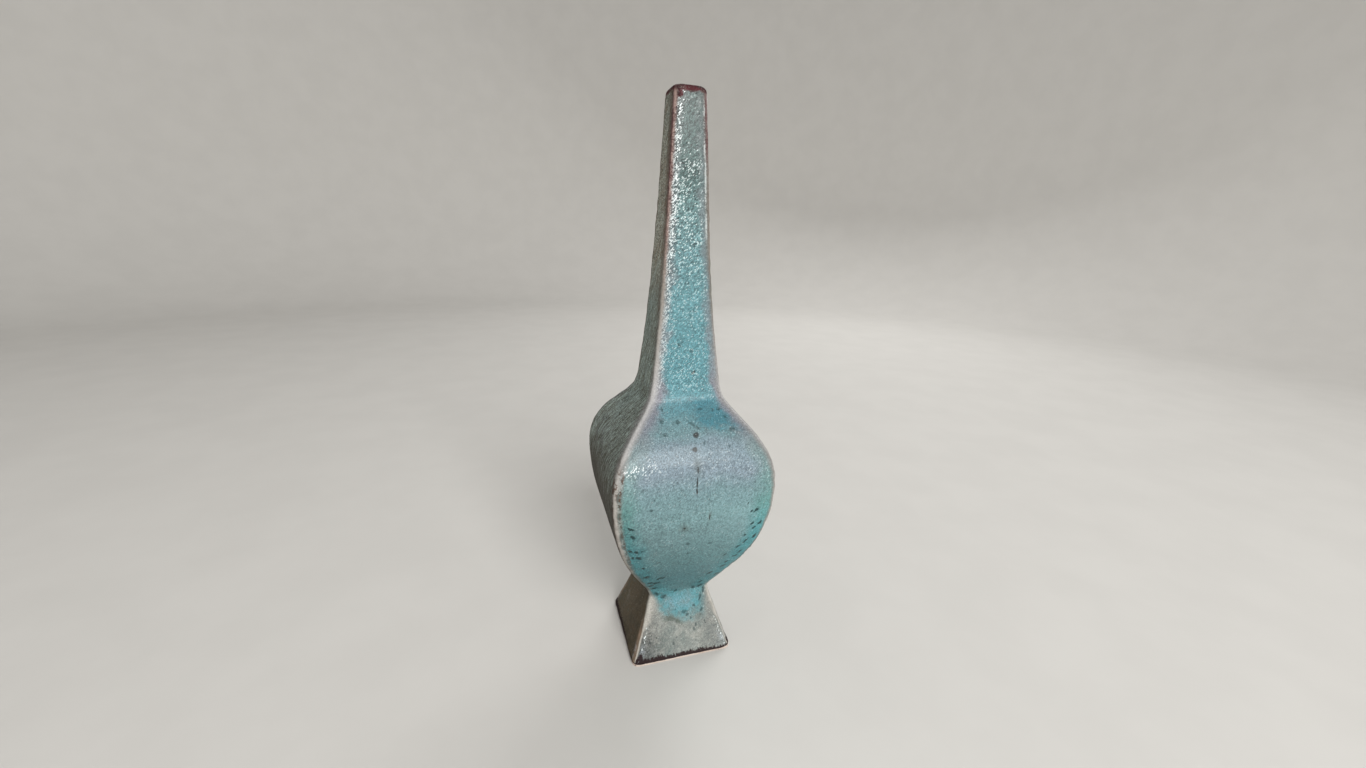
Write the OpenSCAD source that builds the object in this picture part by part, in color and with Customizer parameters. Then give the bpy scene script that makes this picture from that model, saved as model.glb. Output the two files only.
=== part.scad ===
// Square bud vase, slab-built: a hollow tapered foot, a rounded belly and a long tapering neck.
// Each tier is four bent slabs luted together along four corner coils. A floor slab closes the
// belly at the waist, one glaze coats the outside and another lines the inside.
// Millimetres. The origin is at the middle of the foot, on the table, and +Z is up.

/* [Overall] */
// Height from the table to the top of the glazed lip
total_h = 260; // [240:1:290]
// Thickness of the slabs of the foot and the body
wall_t = 3.6; // [2.8:0.1:4.4]
// Thickness of the neck's slabs at the lip
lip_t = 2.8; // [2.2:0.1:3.4]

/* [Foot] */
// Width across the clay of the foot at the table
foot_side = 50.6; // [46:0.2:60]
// Height of the foot, from the table to the waist
foot_h = 32; // [27:0.5:38]
// Outside radius of the foot's corners at the table
foot_corner_r = 3.2; // [2.2:0.1:4.2]

/* [Body] */
// Width across the clay at the waist
waist_side = 28.8; // [26:0.2:33]
// Outside radius of the corners at the waist
waist_corner_r = 2.4; // [1.8:0.1:3.2]
// Thickness of the floor slab
floor_t = 4; // [3:0.25:6]
// Run outwards for each unit of rise where the body leaves the waist
waist_flare = 0.57; // [0.45:0.01:0.68]
// Width across the clay at the belly
belly_side = 73.4; // [64:0.2:84]
// Height of the belly's widest line above the table
belly_h = 96.5; // [88:0.5:104]
// Outside radius of the corners at the belly
belly_corner_r = 3.2; // [2.2:0.1:4]

/* [Shoulder and neck] */
// Height of the crease where the neck stands on the shoulder
shoulder_h = 132.4; // [126:0.2:142]
// Width across the clay at that crease
shoulder_side = 33; // [29:0.2:38]
// Outside radius of the corners at that crease
shoulder_corner_r = 2.6; // [1.8:0.1:3.4]
// Run inwards for each unit of rise where the shoulder meets the crease
shoulder_slope = 0.87; // [0.6:0.01:1.1]
// Run inwards for each unit of rise where the neck leaves the crease
neck_slope = 0.15; // [0.08:0.01:0.24]
// Width across the clay at the lip
lip_side = 14; // [12:0.2:20]
// Run inwards for each unit of rise just below the lip
lip_slope = 0.06; // [0:0.01:0.1]
// Outside radius of the corners at the lip
lip_corner_r = 2.8; // [2.2:0.1:3.4]
// Radius that rounds the lip's outer edge
lip_round = 1.8; // [0.8:0.1:2]

/* [Curves] */
// Reach of the curve's handle above the floor, as a share of the rise to the belly
waist_pull = 0.27; // [0.15:0.01:0.4]
// Reach of the handle below the belly line, as a share of the same rise
belly_pull = 0.48; // [0.35:0.01:0.58]
// Reach of the handle above the belly line, as a share of the rise to the crease
round_pull = 0.45; // [0.3:0.01:0.55]
// Reach of the handle below the crease, as a share of the same rise
shoulder_pull = 0.39; // [0.2:0.01:0.44]
// Reach of the handle above the crease, as a share of the neck's rise
neck_pull = 0.365; // [0.2:0.005:0.45]
// Reach of the handle below the lip, as a share of the neck's rise
lip_pull = 0.22; // [0.1:0.01:0.4]

/* [Seams and glaze] */
// Radius of the fillet that each corner coil leaves on the inside
coil_fillet_r = 1.8; // [1.2:0.1:2.4]
// Thickness of the glaze on the outside
glaze_t = 0.5; // [0.3:0.05:0.8]
// Thickness of the glaze that lines the inside
lining_t = 0.4; // [0.2:0.05:0.6]
// Height of the bare clay left below the glaze
bare_h = 1; // [0.5:0.1:3]
// Extra glaze that pools in the crease below the neck
pool_t = 0.6; // [0:0.05:0.9]

/* [Hidden] */
SIDES = ["front", "right", "back", "left"];
CORNERS = ["front_left", "front_right", "back_right", "back_left"];
TIERS = ["foot", "body", "neck"];

CLAY = [0.76, 0.65, 0.57];
COIL_CLAY = [0.84, 0.77, 0.72];
GLAZE = [0.45, 0.66, 0.68];
LINING = [0.42, 0.52, 0.52];

// Steps in each stretch of the profile and in each rounded corner
belly_steps = 9;
round_steps = 11;
neck_steps = 9;
lip_steps = 3;
corner_steps = 4;
// Power that gathers the neck's steps towards the crease
neck_gather = 1.6;
// Clay below the table line that is cut away to level the foot
level_cut = 1;

// Heights of the joints
floor_top = foot_h + floor_t;
clay_top = total_h - glaze_t;
lip_start = clay_top - lip_round;

// The foot's taper, and the clay's horizontal width where the neck stands on the shoulder
foot_slope = (waist_side - foot_side) / 2 / foot_h;
crease_slope = -(shoulder_slope + neck_slope) / 2;
crease_run = wall_t * slant(crease_slope);

// Profile curves, each four control points of half-width and height
belly_rise = belly_h - floor_top;
round_rise = shoulder_h - belly_h;
neck_rise = lip_start - shoulder_h;
floor_edge = waist_side / 2 + waist_flare * floor_t;
belly_curve = [
    [floor_edge, floor_top],
    [floor_edge + waist_flare * waist_pull * belly_rise, floor_top + waist_pull * belly_rise],
    [belly_side / 2, belly_h - belly_pull * belly_rise],
    [belly_side / 2, belly_h]
];
round_curve = [
    [belly_side / 2, belly_h],
    [belly_side / 2, belly_h + round_pull * round_rise],
    [shoulder_side / 2 + shoulder_slope * shoulder_pull * round_rise,
     shoulder_h - shoulder_pull * round_rise],
    [shoulder_side / 2, shoulder_h]
];
neck_curve = [
    [shoulder_side / 2, shoulder_h],
    [shoulder_side / 2 - neck_slope * neck_pull * neck_rise, shoulder_h + neck_pull * neck_rise],
    [lip_side / 2 + lip_slope * lip_pull * neck_rise, lip_start - lip_pull * neck_rise],
    [lip_side / 2, lip_start]
];

// Length along a face for each unit of rise, at a slope given as run over rise
function slant(slope) = sqrt(1 + slope * slope);

// Point and slope on a cubic curve
function on_curve(c, u) =
    pow(1 - u, 3) * c[0] + 3 * pow(1 - u, 2) * u * c[1]
    + 3 * (1 - u) * u * u * c[2] + pow(u, 3) * c[3];
function along_curve(c, u) =
    pow(1 - u, 2) * (c[1] - c[0]) + 2 * (1 - u) * u * (c[2] - c[1]) + u * u * (c[3] - c[2]);
function slope_at(c, u) = let (d = along_curve(c, u)) d[0] / d[1];

// Outside corner radius at a height
function corner_r(z) = lookup(z, [
    [0, foot_corner_r],
    [foot_h, waist_corner_r],
    [belly_h, belly_corner_r],
    [shoulder_h, shoulder_corner_r],
    [lip_start, lip_corner_r]
]);

// Neck wall's horizontal width, which thins from the crease to the lip
function neck_run(z) = lookup(z, [[shoulder_h, crease_run], [lip_start, lip_t]]);

// A level section of the vase: outer half-width, height, inner half-width, outside corner radius,
// and the outer face's slope as an outward direction of half-width and height
function section(w, z, run, slope) = [w, z, w - run, corner_r(z), [1, -slope] / slant(slope)];

function foot_section(z) = section(foot_side / 2 + foot_slope * z, z, wall_t * slant(foot_slope), foot_slope);
function body_section(c, u) =
    let (p = on_curve(c, u), s = slope_at(c, u)) section(p[0], p[1], wall_t * slant(s), s);
function neck_section(u) =
    let (p = on_curve(neck_curve, u)) section(p[0], p[1], neck_run(p[1]), slope_at(neck_curve, u));
crease_section = section(shoulder_side / 2, shoulder_h, crease_run, crease_slope);

// The lip turns over through a quarter circle, with the corner's centre kept in place
function lip_section(angle) =
    let (cut = lip_round * (1 - cos(angle)))
    [lip_side / 2 - cut, lip_start + lip_round * sin(angle), lip_side / 2 - lip_t,
     lip_corner_r - cut, [cos(angle), sin(angle)]];

// Sections of each tier, from its lower joint to its upper one
foot_sections = [foot_section(-level_cut), foot_section(foot_h)];
body_sections = concat(
    [for (k = [0 : belly_steps]) body_section(belly_curve, k / belly_steps)],
    [for (k = [1 : round_steps - 1]) body_section(round_curve, k / round_steps)],
    [crease_section]
);
neck_sections = concat(
    [crease_section],
    [for (k = [1 : neck_steps]) neck_section(pow(k / neck_steps, neck_gather))],
    [for (k = [1 : lip_steps]) lip_section(90 * k / lip_steps)]
);
waist_slope = (foot_slope + waist_flare) / 2;
waist_section = section(waist_side / 2, foot_h, wall_t, waist_slope);

// Points of one rounded corner, counted from the front left one, at a half-width and a radius
function corner_arc(corner, w, r, z) =
    let (middle = 225 + 90 * corner, off = (w - r) * sqrt(2))
    [for (k = [0 : corner_steps])
        let (a = middle + 90 * (k / corner_steps - 0.5))
        [off * cos(middle) + r * cos(a), off * sin(middle) + r * sin(a), z]];
function rounded_square(w, r, z) = [for (corner = [0 : 3]) each corner_arc(corner, w, r, z)];
function reversed(points) = [for (k = [len(points) - 1 : -1 : 0]) points[k]];
function last(points) = points[len(points) - 1];

// Section rings of the pieces, each going round anticlockwise seen from above
function outer_arc(s, corner) = corner_arc(corner, s[0], s[3], s[1]);
function inner_arc(s, corner) = corner_arc(corner, s[2], coil_fillet_r, s[1]);
function wall_ring(s) =
    [last(outer_arc(s, 0)), outer_arc(s, 1)[0], inner_arc(s, 1)[0], last(inner_arc(s, 0))];
function coil_ring(s) = concat(outer_arc(s, 0), reversed(inner_arc(s, 0)));
function clay_ring(s) = rounded_square(s[0], s[3], s[1]);
function bore_ring(s, t = 0) = rounded_square(s[2] - t, coil_fillet_r - t, s[1]);
function glaze_ring(s, t) = rounded_square(s[0] + t * s[4][0], s[3] + t * s[4][0], s[1] + t * s[4][1]);

// Solid through a stack of rings. A closed stack runs back into its first ring, and an open one
// is capped at both ends by triangles about the ring's point number hub. Each four-sided patch is
// split along its shorter diagonal, so that pieces that share an edge share its faces.
module loft(rings, closed = false, hub = 0) {
    sides = len(rings[0]);
    count = len(rings);
    points = [for (ring = rings) each ring];
    bands = closed ? count : count - 1;
    patches = [for (i = [0 : bands - 1]) for (j = [0 : sides - 1])
        let (
            a = i * sides + j,
            b = i * sides + (j + 1) % sides,
            c = (i + 1) % count * sides + (j + 1) % sides,
            d = (i + 1) % count * sides + j
        )
        each norm(points[a] - points[c]) < norm(points[b] - points[d])
            ? [[a, c, b], [a, d, c]]
            : [[a, d, b], [b, d, c]]];
    top = (count - 1) * sides;
    caps = closed ? [] : [for (k = [1 : sides - 2])
        let (p = (hub + k) % sides, q = (hub + k + 1) % sides)
        each [[hub, p, q], [top + hub, top + q, top + p]]];
    polyhedron(points, concat(patches, caps));
}

// Cuts the foot level along the table
module level() {
    intersection() {
        children();
        translate([-foot_side, -foot_side, 0]) cube([2 * foot_side, 2 * foot_side, total_h]);
    }
}

module slab(sections, side) {
    rotate(90 * side) loft([for (s = sections) wall_ring(s)]);
}

module coil(sections, corner) {
    rotate(90 * corner) loft([for (s = sections) coil_ring(s)], hub = corner_steps / 2);
}

module foot_wall(side) {
    color(CLAY) level() slab(foot_sections, side);
}

module body_wall(side) {
    color(CLAY) slab(body_sections, side);
}

module neck_wall(side) {
    color(CLAY) slab(neck_sections, side);
}

module foot_coil(corner) {
    color(COIL_CLAY) level() coil(foot_sections, corner);
}

module body_coil(corner) {
    color(COIL_CLAY) coil(body_sections, corner);
}

module neck_coil(corner) {
    color(COIL_CLAY) coil(neck_sections, corner);
}

// Plate between the foot and the body, its edge cut to the body's flare
module floor_slab() {
    color(CLAY) loft([clay_ring(waist_section), clay_ring(body_sections[0])]);
}

// Glaze over the outside, from the bare line above the table to the inner edge of the lip
module outer_glaze() {
    covered = concat(
        [foot_section(bare_h), waist_section],
        body_sections,
        [for (k = [1 : len(neck_sections) - 1]) neck_sections[k]]
    );
    skin = [for (s = covered) glaze_ring(s, s == crease_section ? glaze_t + pool_t : glaze_t)];
    lip = last(covered);
    over_lip = [for (z = [total_h, clay_top]) rounded_square(lip[2], coil_fillet_r, z)];
    under = [for (s = reversed(covered)) clay_ring(s)];
    color(GLAZE) loft(concat(skin, over_lip, under), closed = true);
}

// Glaze inside, from the lip down the walls and over the floor
module lining_glaze() {
    lined = concat(body_sections, [for (k = [1 : neck_steps]) neck_sections[k]]);
    outside = [for (s = lined) bore_ring(s)];
    inside = [for (k = [len(lined) - 1 : -1 : 1]) bore_ring(lined[k], lining_t)];
    mouth = [for (t = [0, lining_t]) rounded_square(lip_side / 2 - lip_t - t, coil_fillet_r - t, total_h)];
    bed = rounded_square(lined[0][2] - lining_t, coil_fillet_r - lining_t, floor_top + lining_t);
    color(LINING) loft(concat(outside, mouth, inside, [bed]));
}

for (k = [0 : 3]) {
    foot_wall(k);
    body_wall(k);
    neck_wall(k);
    foot_coil(k);
    body_coil(k);
    neck_coil(k);
}
floor_slab();
outer_glaze();
lining_glaze();
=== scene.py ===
"""Looks of a square slab-built bud vase: mottled turquoise glaze over pale stoneware."""

import logging
import math
from dataclasses import dataclass, field
from enum import Enum
from typing import Callable, Sequence

import bpy
import numpy as np
from mathutils import Matrix, Vector


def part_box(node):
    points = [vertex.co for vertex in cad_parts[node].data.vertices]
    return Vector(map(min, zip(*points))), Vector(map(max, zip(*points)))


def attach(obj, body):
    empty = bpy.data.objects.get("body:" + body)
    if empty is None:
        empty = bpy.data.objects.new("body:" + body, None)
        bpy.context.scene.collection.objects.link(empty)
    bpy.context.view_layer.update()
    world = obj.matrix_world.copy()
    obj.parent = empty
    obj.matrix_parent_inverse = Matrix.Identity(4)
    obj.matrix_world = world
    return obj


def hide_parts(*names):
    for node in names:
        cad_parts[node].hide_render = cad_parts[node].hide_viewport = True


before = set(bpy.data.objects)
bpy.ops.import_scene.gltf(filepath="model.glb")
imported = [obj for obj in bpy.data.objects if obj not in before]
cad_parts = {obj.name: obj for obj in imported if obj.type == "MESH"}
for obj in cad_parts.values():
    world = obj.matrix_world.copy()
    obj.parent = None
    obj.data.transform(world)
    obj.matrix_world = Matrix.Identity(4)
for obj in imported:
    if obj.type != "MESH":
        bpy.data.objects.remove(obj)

LOG = logging.getLogger("bud_vase")
MM = 0.001
BODY = "root"
DAYLIGHT = (1.0, 0.995, 0.985)
# Two places closer than this, in metres, count as one.
SAME = 1e-6

Colour = tuple[float, float, float, float]
Stops = tuple[tuple[float, Colour], ...]
Ring = tuple[float, float, float]
Span = tuple[float, ...]


class Slot(Enum):
    """Material slots of the record."""

    STONEWARE = "stoneware"
    SEAM_CLAY = "seam_clay"
    TURQUOISE_GLAZE = "turquoise_glaze"
    LINING_GLAZE = "lining_glaze"


def srgb(red: int, green: int, blue: int) -> Colour:
    """Turn a screen colour into a linear one.

    Args:
        red: Red from 0 to 255.
        green: Green from 0 to 255.
        blue: Blue from 0 to 255.

    Returns:
        The linear colour with full alpha.
    """
    shares = [channel / 255 for channel in (red, green, blue)]
    linear = [s / 12.92 if s <= 0.04045 else ((s + 0.055) / 1.055) ** 2.4 for s in shares]
    return (*linear, 1.0)


def colour_stops(*rows: tuple[int, int, int, int]) -> Stops:
    """Colour stops from rows of a height in millimetres and a screen colour."""
    return tuple((float(z), srgb(*colour)) for z, *colour in rows)


class Value:
    """A shader socket that takes part in Python expressions."""

    def __init__(self, graph: "Graph", socket: bpy.types.NodeSocket) -> None:
        """Wrap one output socket of a graph."""
        self.graph = graph
        self.socket = socket

    def __add__(self, other: "Number") -> "Value":
        """Add."""
        return self.graph.math("ADD", self, other)

    __radd__ = __add__

    def __sub__(self, other: "Number") -> "Value":
        """Subtract."""
        return self.graph.math("SUBTRACT", self, other)

    def __rsub__(self, other: "Number") -> "Value":
        """Subtract from a number."""
        return self.graph.math("SUBTRACT", other, self)

    def __mul__(self, other: "Number") -> "Value":
        """Multiply."""
        return self.graph.math("MULTIPLY", self, other)

    __rmul__ = __mul__

    def __truediv__(self, other: "Number") -> "Value":
        """Divide."""
        return self.graph.math("DIVIDE", self, other)

    def __gt__(self, other: "Number") -> "Value":
        """One where this is greater, else nought."""
        return self.graph.math("GREATER_THAN", self, other)

    def __neg__(self) -> "Value":
        """Change the sign."""
        return self * -1.0

    def __abs__(self) -> "Value":
        """Drop the sign."""
        return self.graph.math("ABSOLUTE", self)

    def most(self, other: "Number") -> "Value":
        """The greater of two values."""
        return self.graph.math("MAXIMUM", self, other)

    def least(self, other: "Number") -> "Value":
        """The lesser of two values."""
        return self.graph.math("MINIMUM", self, other)

    def rise(self, low: float, high: float) -> "Value":
        """Smooth step, which falls where low is above high.

        Args:
            low: Where the step is nought.
            high: Where it is one.

        Returns:
            The step.
        """
        if low > high:
            return 1.0 - self.rise(high, low)
        settings = {"interpolation_type": "SMOOTHSTEP"}
        return self.graph.node("MapRange", settings, {0: self, 1: low, 2: high})

    def band(self, low: float, high: float, soft: float) -> "Value":
        """One between two values, fading out over a soft margin beyond each."""
        return self.rise(low - soft, low + soft) * self.rise(high + soft, high - soft)


Number = float | Value


class Graph:
    """The node tree of one material and its main shader."""

    def __init__(self, name: str) -> None:
        """Start a material with a Principled shader.

        Args:
            name: Name of the material.
        """
        self.material = bpy.data.materials.new(name)
        self.material.use_nodes = True
        self.tree = self.material.node_tree
        self.shader = self.tree.nodes["Principled BSDF"]

    def node(
        self,
        kind: str,
        settings: dict | None = None,
        sockets: dict | None = None,
        output: int | str = 0,
    ) -> Value:
        """Add one node.

        Args:
            kind: Node type without its ShaderNode prefix.
            settings: Properties that are set first; "stops" fills a colour ramp.
            sockets: Values or links by input name or number.
            output: Name or number of the output to return.

        Returns:
            The chosen output.
        """
        made = self.tree.nodes.new("ShaderNode" + kind)
        for key, value in (settings or {}).items():
            if key == "stops":
                self._fill_ramp(made.color_ramp, value)
            else:
                setattr(made, key, value)
        for key, value in (sockets or {}).items():
            self.feed(made.inputs[key], value)
        return Value(self, made.outputs[output])

    def feed(self, socket: bpy.types.NodeSocket, value: object) -> None:
        """Link a value to a socket, or set the socket.

        Args:
            socket: Input of a node.
            value: A value to link, or a number, vector or colour to set.
        """
        if isinstance(value, Value):
            self.tree.links.new(value.socket, socket)
        else:
            socket.default_value = value

    @staticmethod
    def _fill_ramp(ramp: bpy.types.ColorRamp, stops: Sequence[tuple[float, Colour]]) -> None:
        """Give a colour ramp its stops.

        Args:
            ramp: Ramp of a node.
            stops: Places from nought to one with their colours, in rising order.
        """
        while len(ramp.elements) < len(stops):
            ramp.elements.new(1.0)
        for element, (place, colour) in zip(ramp.elements, stops):
            element.position = place
            element.color = colour

    def math(self, operation: str, *terms: Number) -> Value:
        """Add a Math node on up to three terms."""
        return self.node("Math", {"operation": operation}, dict(enumerate(terms)))

    def mix(self, under: object, over: object, share: Number, blend: str = "MIX") -> Value:
        """Lay one colour over another.

        Args:
            under: Colour below.
            over: Colour on top.
            share: How much of the top colour shows.
            blend: Blend type of the Mix node.

        Returns:
            The blended colour.
        """
        settings = {"data_type": "RGBA", "blend_type": blend, "clamp_factor": True}
        return self.node("Mix", settings, {0: share, 6: under, 7: over}, output=2)

    def millimetres(self) -> Value:
        """Object coordinates as a vector in millimetres."""
        place = self.node("TexCoord", output="Object")
        return self.node("VectorMath", {"operation": "SCALE"}, {0: place, "Scale": 1 / MM})

    def split(self, vector: Value) -> tuple[Value, Value, Value]:
        """The three parts of a vector."""
        outputs = self.node("SeparateXYZ", sockets={0: vector}).socket.node.outputs
        return tuple(Value(self, outputs[k]) for k in range(3))

    def stretch(self, vector: Value, along: tuple[float, float, float]) -> Value:
        """Multiply a vector part by part."""
        return self.node("VectorMath", {"operation": "MULTIPLY"}, {0: vector, 1: along})

    def cloud(self, place: Value, size: float, detail: float = 3.0, rough: float = 0.55) -> Value:
        """Soft noise about nought, with lumps of a size in millimetres."""
        sockets = {"Vector": place, "Scale": 1 / size, "Detail": detail, "Roughness": rough}
        return self.node("TexNoise", sockets=sockets) - 0.5

    def grains(self, place: Value, size: float) -> tuple[Value, Value]:
        """Break a surface up into cells.

        Args:
            place: Places in millimetres.
            size: Size of the cells in millimetres.

        Returns:
            A random value for each cell, and the distance to its middle.
        """
        sockets = {"Vector": place, "Scale": 1 / size}
        distance = self.node("TexVoronoi", {"feature": "F1"}, sockets)
        chance = Value(self, distance.socket.node.outputs["Color"])
        return self.split(chance)[0], distance

    def finish(self, sockets: dict, bump: Value | None = None, depth: float = 0.0) -> bpy.types.Material:
        """Feed the main shader.

        Args:
            sockets: Values, links or colours by socket name.
            bump: Height that drives a Bump node, if any.
            depth: Depth of that height in millimetres.

        Returns:
            The finished material.
        """
        for key, value in sockets.items():
            self.feed(self.shader.inputs[key], value)
        if bump is not None:
            normal = self.node("Bump", sockets={"Distance": depth * MM, "Height": bump})
            self.feed(self.shader.inputs["Normal"], normal)
        return self.material


@dataclass
class Levels:
    """Heights of the vase in metres, taken from the frame."""

    bare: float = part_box("outer_glaze")[0].z
    waist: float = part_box("foot_wall_front")[1].z
    crease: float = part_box("body_wall_front")[1].z
    top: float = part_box("outer_glaze")[1].z


def places_of(piece: bpy.types.Object) -> np.ndarray:
    """Places of a piece's vertices, in metres."""
    return np.array([vertex.co for vertex in piece.data.vertices])


def extrude_rings(path: Sequence[tuple[float, float]]) -> None:
    """Extrude the selected ring of edges in edit mode.

    Args:
        path: Half-widths and heights, from those of the selected ring.
    """
    for (half, z), (wide, high) in zip(path, path[1:]):
        grow = wide / half
        bpy.ops.mesh.extrude_edges_move(TRANSFORM_OT_translate={"value": (0, 0, high - z)})
        bpy.ops.transform.resize(value=(grow, grow, 1), center_override=(0, 0, high))


@dataclass
class SleeveProfile:
    """Half-widths of the CAD glaze and bore by height, smoothed between the CAD rings."""

    levels: Levels
    lip_roll: float = 2.3 * MM
    edge_roll: float = 0.1 * MM
    same_width: float = 5e-6
    ray_shift: float = 1e-5
    digits: int = 7

    def __post_init__(self) -> None:
        """Find the rings that show on the outside of the CAD sleeve, tier by tier."""
        points = places_of(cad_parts["outer_glaze"])
        low = self.levels.bare + self.edge_roll
        high = self.levels.top - self.lip_roll + self.edge_roll
        rings = []
        for z in np.unique(np.round(points[:, 2], self.digits)):
            half = np.abs(points[np.abs(points[:, 2] - z) < SAME, :2]).max()
            if low < z < high and abs(self._seen("outer_glaze", z, 1.0) - half) < self.same_width:
                rings.append((z, half))
        heights = np.array([z for z, _ in rings])
        ends = [0, *(int(np.abs(heights - z).argmin()) for z in (self.levels.waist, self.levels.crease))]
        ends.append(len(rings) - 1)
        self.tiers = [np.array(rings[a : b + 1]) for a, b in zip(ends, ends[1:])]

    def _seen(self, node: str, z: float, start: float) -> float:
        """Find the half-width that a level ray along X meets.

        Args:
            node: CAD node that is hit.
            z: Height of the ray.
            start: Where it starts: outside, to look inwards, or nought, to look outwards.

        Returns:
            The half-width, or nought where nothing is met.
        """
        way = Vector((-1.0 if start else 1.0, 0.0, 0.0))
        hit, place, _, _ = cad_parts[node].ray_cast(Vector((start, self.ray_shift, z)), way)
        return place.x if hit else 0.0

    def outer(self, z: float) -> float:
        """Read the glaze's half-width off smooth curves that break at waist and crease.

        Args:
            z: Height.

        Returns:
            The half-width.
        """
        tier = next((t for t in self.tiers if z <= t[-1, 0]), self.tiers[-1])
        heights, widths = tier.T
        slopes = np.gradient(widths, heights)
        k = int(np.clip(np.searchsorted(heights, z) - 1, 0, len(heights) - 2))
        step = heights[k + 1] - heights[k]
        t = (z - heights[k]) / step
        share = t * t * (3 - 2 * t)
        bend = t * (1 - t) ** 2 * slopes[k] - t * t * (1 - t) * slopes[k + 1]
        return float(widths[k] * (1 - share) + widths[k + 1] * share + step * bend)

    def bore(self, z: float) -> float:
        """Half-width of the lined bore at a height."""
        return self._seen("lining_glaze", z, 0.0)


@dataclass(frozen=True)
class Relief:
    """One unevenness of the glaze: a Displace modifier held to part of the surface.

    Attributes:
        name: Name of the modifier and of its vertex group.
        depth: Height of the relief in millimetres, from its lowest to its highest.
        lump: Size of its lumps in millimetres, or nought for an even swelling.
        middle: Share of the noise that leaves the surface where it is.
        where: Gives each vertex's share from its place in millimetres.
        least: Least share that counts.
    """

    name: str
    depth: float
    lump: float
    middle: float
    where: Callable[[np.ndarray], np.ndarray]
    least: float = 0.002

    def press(self, piece: bpy.types.Object) -> None:
        """Move the surface.

        Args:
            piece: The active object.
        """
        places = places_of(piece) / MM
        shares = np.clip(self.where(places), 0.0, 1.0)
        group = piece.vertex_groups.new(name=self.name)
        for index in np.nonzero(shares > self.least)[0]:
            group.add([int(index)], float(shares[index]), "REPLACE")
        modifier = piece.modifiers.new(self.name, "DISPLACE")
        modifier.vertex_group = self.name
        modifier.strength = self.depth * MM
        modifier.mid_level = self.middle
        if self.lump:
            texture = bpy.data.textures.new(self.name, "CLOUDS")
            texture.noise_scale = self.lump * MM
            texture.noise_depth = 2
            modifier.texture = texture
            modifier.texture_coords = "LOCAL"
        bpy.ops.object.modifier_apply(modifier=self.name)


def ease(values: np.ndarray, low: float, high: float) -> np.ndarray:
    """Smooth step from nought at low to one at high, also for a low above high."""
    t = np.clip((values - low) / (high - low), 0.0, 1.0)
    return t * t * (3 - 2 * t)


def edge_gap(places: np.ndarray) -> np.ndarray:
    """Distance along a face from each place to the nearest corner diagonal."""
    across = np.abs(places[:, :2])
    return across.max(axis=1) - across.min(axis=1)


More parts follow.
